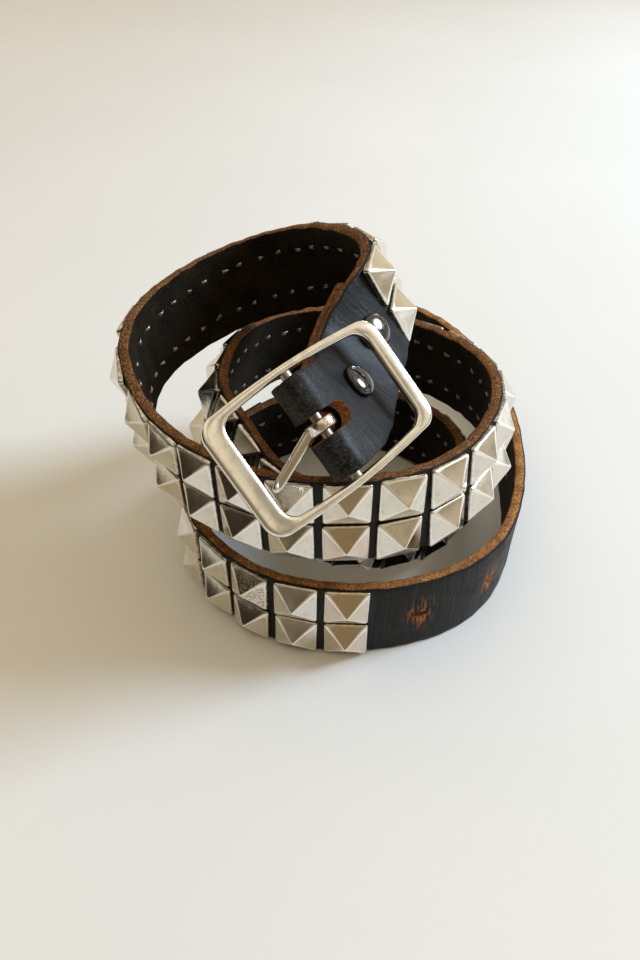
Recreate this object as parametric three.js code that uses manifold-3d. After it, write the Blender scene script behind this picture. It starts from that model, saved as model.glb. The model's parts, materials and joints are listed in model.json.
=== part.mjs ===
// A leather belt with two rows of pyramid studs, lying unfastened on its edge in three loose turns.
// The buckle end crosses over the top of the coil and the tip springs out behind it.
import * as THREE from 'three';
import { mergeVertices } from 'three/addons/utils/BufferGeometryUtils.js';
import Module from 'manifold-3d';

const wasm = await Module();
wasm.setup();

// Driving dimensions, in millimetres and degrees
const strapWidth = 32;
const strapThick = 4;
const coilRadius = 66;
const sectionStep = 4.8;

const studPitch = 16.6;
const studSide = 15;
const studRowGap = 1.1;
const studSkirt = 0.9;
const studHeight = 6.2;
const studRoot = 1.3;
const buckleToStuds = 54;
const studsToTip = 236;

const barRadius = 1.75;
const barPlay = 0.5;
const foldLength = 52;
const foldGap = 0.35;
const foldEase = 15;
const slotWidth = 7.4;
const slotReach = 7.2;

const snapPlaces = [21.5, 44.5];
const snapCapRadius = 5.6;
const snapCapHeight = 2.3;
const snapPostRadius = 1.8;
const snapBackRadius = 4.6;
const snapBackHeight = 1.2;
const snapSeat = 0.8;
const fitGap = 0.3;

const prongHoles = 5;
const prongHolePitch = 30;
const prongHoleLength = 6.6;
const prongHoleHeight = 2.6;
const studsToHoles = 12.5;
const tipRound = 13;

const frameInside = 33.4;
const frameOpening = 53.8;
const frameSideBar = 2.6;
const frameFrontBar = 7;
const frameBackBar = 5.4;
const frameThick = 2.7;
const frameCorner = 5;
const frameOuterCorner = 6;
const frameBow = 1.3;
const frameEdge = 0.7;
const barToBackBar = 28.9;
const frameTilt = -25;

const prongWidth = 3.8;
const prongRing = 1.7;
const prongPlay = 1.1;
const prongShank = 20;
const prongThick = 2.6;
const prongTipShare = 0.78;
const prongSkew = 23;
const prongDroop = 50;

// Route of the strap's middle line, from the buckle's bar to the tip, seen from above.
// bearing: degrees round the coil. reach: share of coilRadius. lift: height over strapWidth.
// lean: degrees that the upper edge tips outward.
const route = [
  { bearing: -86.4, reach: 0.751, lift: 2.853, lean: -48 },
  { bearing: -79.1, reach: 0.623, lift: 2.793, lean: -48 },
  { bearing: -57.8, reach: 0.345, lift: 2.805, lean: -49 },
  { bearing: -7.6, reach: 0.284, lift: 3.009, lean: -34 },
  { bearing: 26.7, reach: 0.375, lift: 3.094, lean: -28 },
  { bearing: 50.9, reach: 0.460, lift: 3.100, lean: -25 },
  { bearing: 71.3, reach: 0.545, lift: 3.024, lean: -18 },
  { bearing: 89, reach: 0.678, lift: 2.869, lean: -7 },
  { bearing: 104, reach: 0.811, lift: 2.69, lean: 4 },
  { bearing: 118, reach: 0.908, lift: 2.53, lean: 10 },
  { bearing: 132, reach: 0.956, lift: 2.41, lean: 13 },
  { bearing: 147, reach: 0.98, lift: 2.33, lean: 11 },
  { bearing: 162, reach: 0.994, lift: 2.272, lean: 8 },
  { bearing: 176, reach: 0.988, lift: 2.163, lean: 7 },
  { bearing: 190, reach: 0.937, lift: 1.945, lean: 7 },
  { bearing: 205, reach: 0.873, lift: 1.779, lean: 4 },
  { bearing: 221, reach: 0.827, lift: 1.727, lean: 1 },
  { bearing: 239, reach: 0.811, lift: 1.733, lean: -1 },
  { bearing: 256, reach: 0.819, lift: 1.748, lean: -2 },
  { bearing: 273, reach: 0.834, lift: 1.762, lean: -3 },
  { bearing: 289, reach: 0.864, lift: 1.762, lean: -4 },
  { bearing: 305, reach: 0.898, lift: 1.76, lean: -5 },
  { bearing: 321, reach: 0.92, lift: 1.762, lean: -5 },
  { bearing: 337, reach: 0.935, lift: 1.762, lean: -5 },
  { bearing: 352, reach: 0.952, lift: 1.753, lean: -5 },
  { bearing: 367, reach: 0.958, lift: 1.727, lean: -5 },
  { bearing: 382, reach: 0.943, lift: 1.686, lean: -4 },
  { bearing: 403, reach: 0.925, lift: 1.61, lean: -3 },
  { bearing: 425, reach: 0.968, lift: 1.51, lean: -1 },
  { bearing: 443, reach: 1.014, lift: 1.44, lean: 0 },
  { bearing: 460, reach: 0.997, lift: 1.415, lean: 0 },
  { bearing: 474, reach: 0.935, lift: 1.42, lean: 0 },
  { bearing: 490, reach: 0.821, lift: 1.46, lean: -5 },
  { bearing: 511, reach: 0.69, lift: 1.53, lean: -14 },
  { bearing: 531, reach: 0.622, lift: 1.55, lean: -19 },
  { bearing: 548, reach: 0.56, lift: 1.54, lean: -20 },
  { bearing: 565, reach: 0.52, lift: 1.51, lean: -19 },
  { bearing: 585, reach: 0.525, lift: 1.46, lean: -14 },
  { bearing: 606, reach: 0.575, lift: 1.39, lean: -8 },
  { bearing: 630, reach: 0.63, lift: 1.27, lean: -3 },
  { bearing: 658, reach: 0.69, lift: 1.08, lean: 0 },
  { bearing: 687, reach: 0.75, lift: 0.88, lean: 0 },
  { bearing: 714, reach: 0.815, lift: 0.7, lean: 0 },
  { bearing: 739, reach: 0.86, lift: 0.59, lean: 0 },
  { bearing: 764, reach: 0.85, lift: 0.53, lean: 0 },
  { bearing: 789, reach: 0.8, lift: 0.5, lean: 0 },
  { bearing: 810, reach: 0.75, lift: 0.5, lean: 0 },
  { bearing: 838, reach: 0.678, lift: 0.5, lean: 0 },
  { bearing: 860, reach: 0.655, lift: 0.5, lean: 0 },
  { bearing: 882, reach: 0.648, lift: 0.5, lean: 0 },
  { bearing: 902, reach: 0.692, lift: 0.5, lean: 0 },
  { bearing: 919, reach: 0.76, lift: 0.5, lean: 0 },
  { bearing: 934, reach: 0.816, lift: 0.5, lean: 0 },
  { bearing: 951, reach: 0.844, lift: 0.5, lean: -1 },
  { bearing: 967, reach: 0.885, lift: 0.5, lean: -2 },
  { bearing: 983, reach: 0.92, lift: 0.5, lean: -3 },
  { bearing: 998, reach: 0.958, lift: 0.5, lean: -3 },
  { bearing: 1012, reach: 1.001, lift: 0.5, lean: -2 },
  { bearing: 1026, reach: 1.058, lift: 0.5, lean: -2 },
  { bearing: 1039, reach: 1.109, lift: 0.5, lean: -1 },
  { bearing: 1052, reach: 1.134, lift: 0.5, lean: 0 },
  { bearing: 1065, reach: 1.148, lift: 0.5, lean: 0 },
  { bearing: 1077, reach: 1.176, lift: 0.5, lean: 0 },
  { bearing: 1089, reach: 1.227, lift: 0.5, lean: 0 },
  { bearing: 1100, reach: 1.308, lift: 0.5, lean: 0 },
  { bearing: 1112, reach: 1.43, lift: 0.5, lean: 0 },
  { bearing: 1122, reach: 1.58, lift: 0.5, lean: 0 },
  { bearing: 1134, reach: 1.77, lift: 0.5, lean: 0 },
  { bearing: 1143, reach: 1.92, lift: 0.5, lean: 0 },
  { bearing: 1154, reach: 2.06, lift: 0.5, lean: 0 },
];

// Natural cubic spline through one column of values at the given knots
function spline(knots, values) {
  const n = knots.length;
  const bend = new Array(n).fill(0);
  const upper = new Array(n).fill(0);
  for (let i = 1; i < n - 1; i += 1) {
    const before = knots[i] - knots[i - 1];
    const after = knots[i + 1] - knots[i];
    const slopeChange = (values[i + 1] - values[i]) / after - (values[i] - values[i - 1]) / before;
    const pivot = 2 * (before + after) - before * upper[i - 1];
    upper[i] = after / pivot;
    bend[i] = (6 * slopeChange - before * bend[i - 1]) / pivot;
  }
  for (let i = n - 2; i > 0; i -= 1) bend[i] -= upper[i] * bend[i + 1];
  return (at) => {
    let i = 0;
    while (i < n - 2 && at > knots[i + 1]) i += 1;
    const span = knots[i + 1] - knots[i];
    const a = (knots[i + 1] - at) / span;
    const b = 1 - a;
    const curve = ((a ** 3 - a) * bend[i] + (b ** 3 - b) * bend[i + 1]) * span * span / 6;
    return a * values[i] + b * values[i + 1] + curve;
  };
}

// The strap's middle line as a function of the distance along it
const radians = THREE.MathUtils.degToRad;
const up = new THREE.Vector3(0, 0, 1);

function makeLine() {
  const points = route.map(({ bearing, reach, lift }) => new THREE.Vector3(
    Math.cos(radians(bearing)) * reach * coilRadius,
    Math.sin(radians(bearing)) * reach * coilRadius,
    lift * strapWidth,
  ));
  const knots = [0];
  for (let i = 1; i < points.length; i += 1) knots.push(knots[i - 1] + points[i].distanceTo(points[i - 1]));
  const x = spline(knots, points.map((p) => p.x));
  const y = spline(knots, points.map((p) => p.y));
  const z = spline(knots, points.map((p) => p.z));
  const lean = spline(knots, route.map((row) => row.lean));
  return { length: knots[knots.length - 1], at: (s) => new THREE.Vector3(x(s), y(s), z(s)), lean };
}

const line = makeLine();

// A place on the strap at a distance from the bar: along it, across it to the upper edge, and out of its face
function place(s) {
  const nudge = 0.2;
  const middle = line.at(s);
  const along = line.at(s + nudge).sub(line.at(s - nudge)).normalize();
  const outward = along.clone().cross(up).normalize();
  const lean = radians(line.lean(s));
  const across = up.clone().multiplyScalar(Math.cos(lean)).addScaledVector(outward, Math.sin(lean));
  across.addScaledVector(along, -across.dot(along)).normalize();
  return { middle, along, across, out: along.clone().cross(across) };
}

// Conversions between three.js geometry and solids that can be joined and cut
function solid(geometry) {
  const bare = geometry.clone();
  for (const name of Object.keys(bare.attributes)) if (name !== 'position') bare.deleteAttribute(name);
  const merged = mergeVertices(bare, 1e-4);
  return new wasm.Manifold(new wasm.Mesh({
    numProp: 3,
    vertProperties: new Float32Array(merged.attributes.position.array),
    triVerts: new Uint32Array(merged.index.array),
  }));
}

function geometryOf(body) {
  const mesh = body.getMesh();
  const geometry = new THREE.BufferGeometry();
  geometry.setAttribute('position', new THREE.BufferAttribute(new Float32Array(mesh.vertProperties), 3));
  geometry.setIndex(new THREE.BufferAttribute(new Uint32Array(mesh.triVerts), 1));
  geometry.computeVertexNormals();
  return geometry;
}

// Matrix whose x runs along the strap, y across it and z out of its grain face
function basis({ middle, along, across, out }, shift = 0) {
  const matrix = new THREE.Matrix4().makeBasis(along, across, out);
  return matrix.setPosition(middle.clone().addScaledVector(out, shift));
}

// The leather: sections from the folded-back end, round the bar and along the route to the tip
const foldRadius = barRadius + barPlay + strapThick / 2;
const start = place(0);
const barCentre = start.middle.clone().addScaledVector(start.out, -foldRadius);
const foldTurns = 9;

function foldedSections() {
  const sections = [];
  const steps = Math.ceil(foldLength / sectionStep);
  for (let i = steps; i > 0; i -= 1) {
    const s = foldLength * i / steps;
    const here = place(s);
    const ease = THREE.MathUtils.smoothstep(s, 0, foldEase);
    const spacing = THREE.MathUtils.lerp(2 * foldRadius, strapThick + foldGap, ease);
    here.middle.addScaledVector(here.out, -spacing);
    here.out.negate();
    sections.push({ ...here, half: strapWidth / 2 });
  }
  for (let i = 0; i < foldTurns; i += 1) {
    const angle = Math.PI * i / foldTurns;
    const out = start.out.clone().multiplyScalar(-Math.cos(angle));
    out.addScaledVector(start.along, -Math.sin(angle));
    const middle = barCentre.clone().addScaledVector(out, foldRadius);
    sections.push({ middle, across: start.across, out, half: strapWidth / 2 });
  }
  return sections;
}

function runningSections() {
  const sections = [];
  const steps = Math.round((line.length - tipRound) / sectionStep);
  for (let i = 0; i <= steps; i += 1) {
    sections.push({ ...place((line.length - tipRound) * i / steps), half: strapWidth / 2 });
  }
  for (const angle of [25, 50, 70, 84]) {
    const beyond = tipRound * Math.sin(radians(angle));
    const half = strapWidth / 2 - tipRound * (1 - Math.cos(radians(angle)));
    sections.push({ ...place(line.length - tipRound + beyond), half });
  }
  return sections;
}

function ribbon(sections) {
  const corners = [];
  for (const { middle, across, out, half } of sections) {
    for (const [side, face] of [[1, 1], [-1, 1], [-1, -1], [1, -1]]) {
      const corner = middle.clone().addScaledVector(across, side * half);
      corners.push(...corner.addScaledVector(out, face * strapThick / 2).toArray());
    }
  }
  const index = [0, 2, 1, 0, 3, 2];
  const last = 4 * (sections.length - 1);
  index.push(last, last + 1, last + 2, last, last + 2, last + 3);
  for (let row = 0; row < last; row += 4) {
    for (let side = 0; side < 4; side += 1) {
      const a = row + side;
      const b = row + (side + 1) % 4;
      index.push(a, b, a + 4, b, b + 4, a + 4);
    }
  }
  const geometry = new THREE.BufferGeometry();
  geometry.setAttribute('position', new THREE.Float32BufferAttribute(corners, 3));
  geometry.setIndex(index);
  return geometry;
}

// One pyramid stud: a square skirt that starts inside the leather, and four facets up to the point
function studGeometry() {
  const half = studSide / 2;
  const ring = [[-half, -half], [half, -half], [half, half], [-half, half]];
  const points = [];
  for (const z of [-studRoot, studSkirt]) for (const [x, y] of ring) points.push(x, y, z);
  points.push(0, 0, studHeight);
  const index = [0, 2, 1, 0, 3, 2];
  for (let i = 0; i < 4; i += 1) {
    const j = (i + 1) % 4;
    index.push(i, j, i + 4, j, j + 4, i + 4, i + 4, j + 4, 8);
  }
  const geometry = new THREE.BufferGeometry();
  geometry.setAttribute('position', new THREE.Float32BufferAttribute(points, 3));
  geometry.setIndex(index);
  return geometry;
}

function studs() {
  const one = studGeometry();
  const placed = [];
  const rowOffset = (studSide + studRowGap) / 2;
  const room = line.length - studsToTip - buckleToStuds;
  const columns = Math.floor((room - studSide) / studPitch) + 1;
  for (let column = 0; column < columns; column += 1) {
    const spot = place(buckleToStuds + studSide / 2 + column * studPitch);
    for (const side of [-1, 1]) {
      const matrix = basis(spot, strapThick / 2);
      const stud = one.clone().translate(0, side * rowOffset, 0).applyMatrix4(matrix);
      placed.push(solid(stud));
    }
  }
  return placed;
}

// Openings in the leather: the prong's slot over the fold, the snap holes and the holes near the tip
function slotCutter() {
  const half = slotWidth / 2;
  const outline = new THREE.Shape();
  const near = -(foldRadius + strapThick);
  outline.moveTo(near, -half);
  outline.lineTo(slotReach - half, -half);
  outline.absarc(slotReach - half, 0, half, -Math.PI / 2, Math.PI / 2, false);
  outline.lineTo(near, half);
  const depth = 2 * (foldRadius + strapThick);
  const geometry = new THREE.ExtrudeGeometry(outline, { depth, bevelEnabled: false, curveSegments: 8 });
  geometry.translate(0, 0, -depth / 2);
  return solid(geometry.applyMatrix4(basis({ ...start, middle: barCentre })));
}

function snapHole(s) {
  const depth = 4 * strapThick;
  const hole = new THREE.CylinderGeometry(snapPostRadius + fitGap, snapPostRadius + fitGap, depth, 12);
  hole.rotateX(Math.PI / 2).translate(0, 0, -strapThick / 2);
  return solid(hole.applyMatrix4(basis(place(s))));
}

function prongHole(s) {
  const hole = new THREE.CylinderGeometry(1, 1, 3 * strapThick, 10);
  hole.rotateX(Math.PI / 2).scale(prongHoleLength / 2, prongHoleHeight / 2, 1);
  return solid(hole.applyMatrix4(basis(place(s))));
}

function strapGeometry() {
  const leather = solid(ribbon([...foldedSections(), ...runningSections()]));
  let body = leather;
  for (const stud of studs()) body = body.add(stud);
  body = body.subtract(slotCutter());
  for (const s of snapPlaces) body = body.subtract(snapHole(s));
  for (let i = 0; i < prongHoles; i += 1) {
    body = body.subtract(prongHole(line.length - studsToTip + studsToHoles + i * prongHolePitch));
  }
  return geometryOf(body);
}

// The buckle frame, flat about its centre bar: x towards the back bar, y along the centre bar
function frameOutline(shape, left, right, half, corner, bow) {
  shape.moveTo(left + corner, -half);
  shape.quadraticCurveTo((left + right) / 2, -half - 2 * bow, right - corner, -half);
  shape.absarc(right - corner, -half + corner, corner, -Math.PI / 2, 0, false);
  shape.lineTo(right, half - corner);
  shape.absarc(right - corner, half - corner, corner, 0, Math.PI / 2, false);
  shape.quadraticCurveTo((left + right) / 2, half + 2 * bow, left + corner, half);
  shape.absarc(left + corner, half - corner, corner, Math.PI / 2, Math.PI, false);
  shape.lineTo(left, -half + corner);
  shape.absarc(left + corner, -half + corner, corner, Math.PI, 1.5 * Math.PI, false);
  return shape;
}

function frameGeometry() {
  const back = barToBackBar;
  const front = back - frameOpening;
  const inset = frameEdge;
  const outer = frameOutline(new THREE.Shape(), front - frameFrontBar + inset, back + frameBackBar - inset,
    frameInside / 2 + frameSideBar - inset, frameOuterCorner - inset, frameBow);
  outer.holes.push(frameOutline(new THREE.Path(), front - inset, back + inset,
    frameInside / 2 + inset, frameCorner + inset, frameBow));
  const ring = new THREE.ExtrudeGeometry(outer, {
    depth: frameThick - 2 * frameEdge,
    bevelThickness: frameEdge,
    bevelSize: frameEdge,
    bevelSegments: 2,
    curveSegments: 6,
  });
  ring.translate(0, 0, frameEdge - frameThick / 2);
  const reach = frameInside + frameSideBar;
  const bar = new THREE.CylinderGeometry(barRadius, barRadius, reach, 16);
  return geometryOf(solid(ring).add(solid(bar)));
}

// The prong: a ring round the centre bar and a tapered shank towards the front bar
function prongGeometry() {
  const inner = barRadius + prongPlay;
  const ringShape = new THREE.Shape().absarc(0, 0, inner + prongRing, 0, 2 * Math.PI, false);
  ringShape.holes.push(new THREE.Path().absarc(0, 0, inner, 0, 2 * Math.PI, true));
  const options = { depth: prongWidth, bevelEnabled: false, curveSegments: 10 };
  const ring = new THREE.ExtrudeGeometry(ringShape, options);
  ring.translate(0, 0, -prongWidth / 2).rotateX(Math.PI / 2);
  const root = inner + prongRing / 2;
  const shank = new THREE.BoxGeometry(prongShank, prongWidth, prongThick);
  const position = shank.attributes.position;
  for (let i = 0; i < position.count; i += 1) {
    if (position.getX(i) > 0) continue;
    position.setY(i, position.getY(i) * prongTipShare);
    position.setZ(i, position.getZ(i) * prongTipShare);
  }
  shank.translate(-prongShank / 2, 0, 0).rotateZ(radians(prongSkew)).translate(-root, 0, 0);
  return geometryOf(solid(ring).add(solid(shank)));
}

// One snap: domed cap on the grain face, post through both layers, flat back behind the fold
function snapGeometry() {
  const under = -2 * strapThick - foldGap - snapSeat;
  const profile = [
    [0, under - snapBackHeight],
    [snapBackRadius, under - snapBackHeight],
    [snapBackRadius, under],
    [snapPostRadius, under],
    [snapPostRadius, snapSeat],
    [snapCapRadius, snapSeat],
    [snapCapRadius, snapSeat + snapCapHeight * 0.4],
    [snapCapRadius * 0.82, snapSeat + snapCapHeight * 0.8],
    [snapCapRadius * 0.45, snapSeat + snapCapHeight],
    [0, snapSeat + snapCapHeight],
  ];
  const points = profile.map(([radius, height]) => new THREE.Vector2(radius, height));
  return geometryOf(solid(new THREE.LatheGeometry(points, 16).rotateX(Math.PI / 2)));
}

// Materials
const blackLeather = new THREE.MeshStandardMaterial({ color: 0x1c1c20, roughness: 0.5, metalness: 0 });
const nickel = new THREE.MeshStandardMaterial({ color: 0xcfc8bb, roughness: 0.22, metalness: 1 });
const brightNickel = new THREE.MeshStandardMaterial({ color: 0xd8d4cc, roughness: 0.15, metalness: 1 });
const blackEnamel = new THREE.MeshStandardMaterial({ color: 0x0b0b0d, roughness: 0.2, metalness: 0.3 });

function named(name, geometry, material) {
  const mesh = new THREE.Mesh(geometry, material);
  mesh.name = name;
  return mesh;
}

const belt = new THREE.Group();
belt.add(named('studded_strap', strapGeometry(), blackLeather));

snapPlaces.forEach((s, i) => {
  const snap = named(['snap_near', 'snap_far'][i], snapGeometry(), blackEnamel);
  basis(place(s), strapThick / 2).decompose(snap.position, snap.quaternion, snap.scale);
  belt.add(snap);
});

const buckle = new THREE.Group();
basis({ ...start, middle: barCentre }).decompose(buckle.position, buckle.quaternion, buckle.scale);
const frame = named('buckle_frame', frameGeometry(), brightNickel);
frame.rotation.y = radians(frameTilt);
const prong = named('buckle_prong', prongGeometry(), nickel);
prong.rotation.y = radians(-prongDroop);
buckle.add(frame, prong);
belt.add(buckle);

// The belt stands on z = 0 with the middle of its box over the origin
const part = new THREE.Group();
part.add(belt);
belt.updateMatrixWorld(true);
const box = new THREE.Box3().setFromObject(belt, true);
belt.position.set(-(box.min.x + box.max.x) / 2, -(box.min.y + box.max.y) / 2, -box.min.z);

export default part;
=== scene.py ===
# %% [markdown]
# # A studded belt, finished in Blender
# The belt is one leather strap with two rows of pyramid studs. It lies on its edge in three loose turns,
# and its buckle end crosses over the top. The solids come packed in metres. This lesson keeps their frame
# and makes each surface look like what it is: grain leather, raw edge, suede, nickel and black enamel.

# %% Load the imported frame
import json
import math

import bmesh
import bpy
import numpy as np
from mathutils import Matrix, Vector


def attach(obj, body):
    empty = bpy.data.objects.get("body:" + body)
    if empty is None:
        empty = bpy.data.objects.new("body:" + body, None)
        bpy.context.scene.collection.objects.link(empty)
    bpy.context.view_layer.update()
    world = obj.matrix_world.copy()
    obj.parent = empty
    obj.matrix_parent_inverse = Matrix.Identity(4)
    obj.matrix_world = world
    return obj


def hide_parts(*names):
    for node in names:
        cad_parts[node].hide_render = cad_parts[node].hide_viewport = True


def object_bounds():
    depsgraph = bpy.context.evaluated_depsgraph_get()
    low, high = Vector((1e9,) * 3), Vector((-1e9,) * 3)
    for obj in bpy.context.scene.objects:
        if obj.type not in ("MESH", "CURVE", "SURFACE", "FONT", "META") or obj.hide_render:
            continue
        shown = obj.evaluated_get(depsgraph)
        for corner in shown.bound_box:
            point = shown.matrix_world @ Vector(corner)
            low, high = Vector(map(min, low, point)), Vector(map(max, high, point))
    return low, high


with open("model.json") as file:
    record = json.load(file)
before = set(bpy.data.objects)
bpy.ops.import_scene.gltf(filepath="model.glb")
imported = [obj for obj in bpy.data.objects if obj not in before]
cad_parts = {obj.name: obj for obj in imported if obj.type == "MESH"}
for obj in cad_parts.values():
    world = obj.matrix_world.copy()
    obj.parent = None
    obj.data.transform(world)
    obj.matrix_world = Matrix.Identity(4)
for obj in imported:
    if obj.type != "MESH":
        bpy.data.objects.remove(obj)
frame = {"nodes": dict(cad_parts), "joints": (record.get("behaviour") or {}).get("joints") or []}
cad_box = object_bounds()
MM = 0.001
print("nodes", sorted(frame["nodes"]), "box", [tuple(round(v, 4) for v in c) for c in cad_box])

# %% [markdown]
# ## Sizes
# These are the strap's and the buckle's own sizes, in millimetres, the same as in the solids. Everything that
# sits on the strap is placed by its distance from the buckle's bar, so the route below drives the whole belt.

# %% Named sizes
STRAP_WIDTH = 32.0
STRAP_THICK = 4.0
COIL_RADIUS = 66.0
STUD_PITCH = 16.6
STUD_SIDE = 15.0
STUD_ROW_GAP = 1.1
STUD_SKIRT = 0.9
STUD_HEIGHT = 6.2
BUCKLE_TO_STUDS = 54.0
STUDS_TO_TIP = 236.0
BAR_RADIUS = 1.75
BAR_PLAY = 0.5
FOLD_LENGTH = 52.0
FOLD_GAP = 0.35
FOLD_EASE = 15.0
SLOT_WIDTH = 7.4
SLOT_REACH = 7.2
SNAP_PLACES = (21.5, 44.5)
SNAP_SEAT = 0.8
SNAP_CAP_RADIUS = 5.6
SNAP_CAP_HEIGHT = 2.3
SNAP_POST_RADIUS = 1.8
SNAP_BACK_RADIUS = 4.6
SNAP_BACK_HEIGHT = 1.2
PRONG_HOLES = 5
PRONG_HOLE_PITCH = 30.0
PRONG_HOLE_LENGTH = 6.6
PRONG_HOLE_HEIGHT = 2.6
STUDS_TO_HOLES = 12.5
TIP_ROUND = 13.0
FRAME_INSIDE = 33.4
FRAME_OPENING = 53.8
FRAME_SIDE_BAR = 2.6
FRAME_FRONT_BAR = 7.0
FRAME_BACK_BAR = 5.4
FRAME_THICK = 2.7
FRAME_CORNER = 5.0
FRAME_OUTER_CORNER = 6.0
FRAME_BOW = 1.3
BAR_TO_BACK_BAR = 28.9
FRAME_TILT = -25.0
PRONG_WIDTH = 3.8
PRONG_RING = 1.7
PRONG_PLAY = 1.1
PRONG_SHANK = 20.0
PRONG_THICK = 2.6
PRONG_TIP_SHARE = 0.78
PRONG_SKEW = 23.0
PRONG_DROOP = 50.0

# %% Route of the strap's middle line, from the bar to the tip
# Columns: bearing in degrees round the coil, reach as a share of COIL_RADIUS,
# lift as a share of STRAP_WIDTH, and lean, the degrees that the upper edge tips outward.
ROUTE = [
    (-86.4, 0.751, 2.853, -48),
    (-79.1, 0.623, 2.793, -48),
    (-57.8, 0.345, 2.805, -49),
    (-7.6, 0.284, 3.009, -34),
    (26.7, 0.375, 3.094, -28),
    (50.9, 0.460, 3.100, -25),
    (71.3, 0.545, 3.024, -18),
    (89, 0.678, 2.869, -7),
    (104, 0.811, 2.69, 4),
    (118, 0.908, 2.53, 10),
    (132, 0.956, 2.41, 13),
    (147, 0.98, 2.33, 11),
    (162, 0.994, 2.272, 8),
    (176, 0.988, 2.163, 7),
    (190, 0.937, 1.945, 7),
    (205, 0.873, 1.779, 4),
    (221, 0.827, 1.727, 1),
    (239, 0.811, 1.733, -1),
    (256, 0.819, 1.748, -2),
    (273, 0.834, 1.762, -3),
    (289, 0.864, 1.762, -4),
    (305, 0.898, 1.76, -5),
    (321, 0.92, 1.762, -5),
    (337, 0.935, 1.762, -5),
    (352, 0.952, 1.753, -5),
    (367, 0.958, 1.727, -5),
    (382, 0.943, 1.686, -4),
    (403, 0.925, 1.61, -3),
    (425, 0.968, 1.51, -1),
    (443, 1.014, 1.44, 0),
    (460, 0.997, 1.415, 0),
    (474, 0.935, 1.42, 0),
    (490, 0.821, 1.46, -5),
    (511, 0.69, 1.53, -14),
    (531, 0.622, 1.55, -19),
    (548, 0.56, 1.54, -20),
    (565, 0.52, 1.51, -19),
    (585, 0.525, 1.46, -14),
    (606, 0.575, 1.39, -8),
    (630, 0.63, 1.27, -3),
    (658, 0.69, 1.08, 0),
    (687, 0.75, 0.88, 0),
    (714, 0.815, 0.7, 0),
    (739, 0.86, 0.59, 0),
    (764, 0.85, 0.53, 0),
    (789, 0.8, 0.5, 0),
    (810, 0.75, 0.5, 0),
    (838, 0.678, 0.5, 0),
    (860, 0.655, 0.5, 0),
    (882, 0.648, 0.5, 0),
    (902, 0.692, 0.5, 0),
    (919, 0.76, 0.5, 0),
    (934, 0.816, 0.5, 0),
    (951, 0.844, 0.5, -1),
    (967, 0.885, 0.5, -2),
    (983, 0.92, 0.5, -3),
    (998, 0.958, 0.5, -3),
    (1012, 1.001, 0.5, -2),
    (1026, 1.058, 0.5, -2),
    (1039, 1.109, 0.5, -1),
    (1052, 1.134, 0.5, 0),
    (1065, 1.148, 0.5, 0),
    (1077, 1.176, 0.5, 0),
    (1089, 1.227, 0.5, 0),
    (1100, 1.308, 0.5, 0),
    (1112, 1.43, 0.5, 0),
    (1122, 1.58, 0.5, 0),
    (1134, 1.77, 0.5, 0),
    (1143, 1.92, 0.5, 0),
    (1154, 2.06, 0.5, 0),
]
print("route rows", len(ROUTE))

# %% [markdown]
# ## The strap's line
# A natural cubic spline through the rows gives a smooth line by distance. At each distance the strap has
# three directions: along it, across it towards its upper edge, and out of its grain face. Studs, holes, snaps
# and the leather all ask the same function where they are.

# %% Spline and placing helpers
def natural_spline(knots, values):
    """A function through the values, with no bend at its two ends."""
    n = len(knots)
    gap = np.diff(knots)
    matrix = np.eye(n)
    right = np.zeros(n)
    for i in range(1, n - 1):
        matrix[i, i - 1 : i + 2] = gap[i - 1], 2 * (gap[i - 1] + gap[i]), gap[i]
        right[i] = 6 * ((values[i + 1] - values[i]) / gap[i] - (values[i] - values[i - 1]) / gap[i - 1])
    bend = np.linalg.solve(matrix, right)

    def value(at):
        at = np.asarray(at, float)
        i = np.clip(np.searchsorted(knots, at) - 1, 0, n - 2)
        a = (knots[i + 1] - at) / gap[i]
        b = 1 - a
        curve = ((a**3 - a) * bend[i] + (b**3 - b) * bend[i + 1]) * gap[i] ** 2 / 6
        return a * values[i] + b * values[i + 1] + curve

    return value


rows = np.array(ROUTE, float)
bearing = np.radians(rows[:, 0])
reach = rows[:, 1] * COIL_RADIUS
through = np.stack([np.cos(bearing) * reach, np.sin(bearing) * reach, rows[:, 2] * STRAP_WIDTH], 1)
knots = np.concatenate([[0], np.cumsum(np.linalg.norm(np.diff(through, axis=0), axis=1))])
line = [natural_spline(knots, through[:, k]) for k in range(3)]
lean_of = natural_spline(knots, rows[:, 3])
STRAP_LENGTH = float(knots[-1])


def unit(vectors):
    return vectors / np.linalg.norm(vectors, axis=-1, keepdims=True)


def place(s):
    """Middle, along, across and out of the strap at distances s from the bar, each an array of rows."""
    s = np.atleast_1d(np.asarray(s, float))
    point = lambda at: np.stack([f(at) for f in line], 1)
    along = unit(point(s + 0.2) - point(s - 0.2))
    outward = unit(np.cross(along, [0.0, 0.0, 1.0]))
    lean = np.radians(lean_of(s))[:, None]
    across = np.array([[0.0, 0.0, 1.0]]) * np.cos(lean) + outward * np.sin(lean)
    across = unit(across - along * np.sum(across * along, 1, keepdims=True))
    return point(s), along, across, np.cross(along, across)


FOLD_RADIUS = BAR_RADIUS + BAR_PLAY + STRAP_THICK / 2
start = [v[0] for v in place(0)]
bar_centre = start[0] - start[3] * FOLD_RADIUS
joint_place = np.array(frame["joints"][0]["pos_m"]) / MM
SHIFT = joint_place - bar_centre
print("strap length", round(STRAP_LENGTH, 1), "shift into the packed frame", np.round(SHIFT, 3))


def in_frame(points):
    """Millimetres along the route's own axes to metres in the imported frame."""
    return (np.asarray(points, float) + SHIFT) * MM


def basis(middle, along, across, out, lift=0.0):
    """Matrix whose x runs along the strap, y across it and z out of its grain face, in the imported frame."""
    matrix = Matrix(np.column_stack([along, across, out]).tolist()).to_4x4()
    matrix.translation = Vector(in_frame(middle + out * lift))
    return matrix


def on_strap(s, lift=0.0):
    return basis(*[v[0] for v in place(s)], lift)


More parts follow.
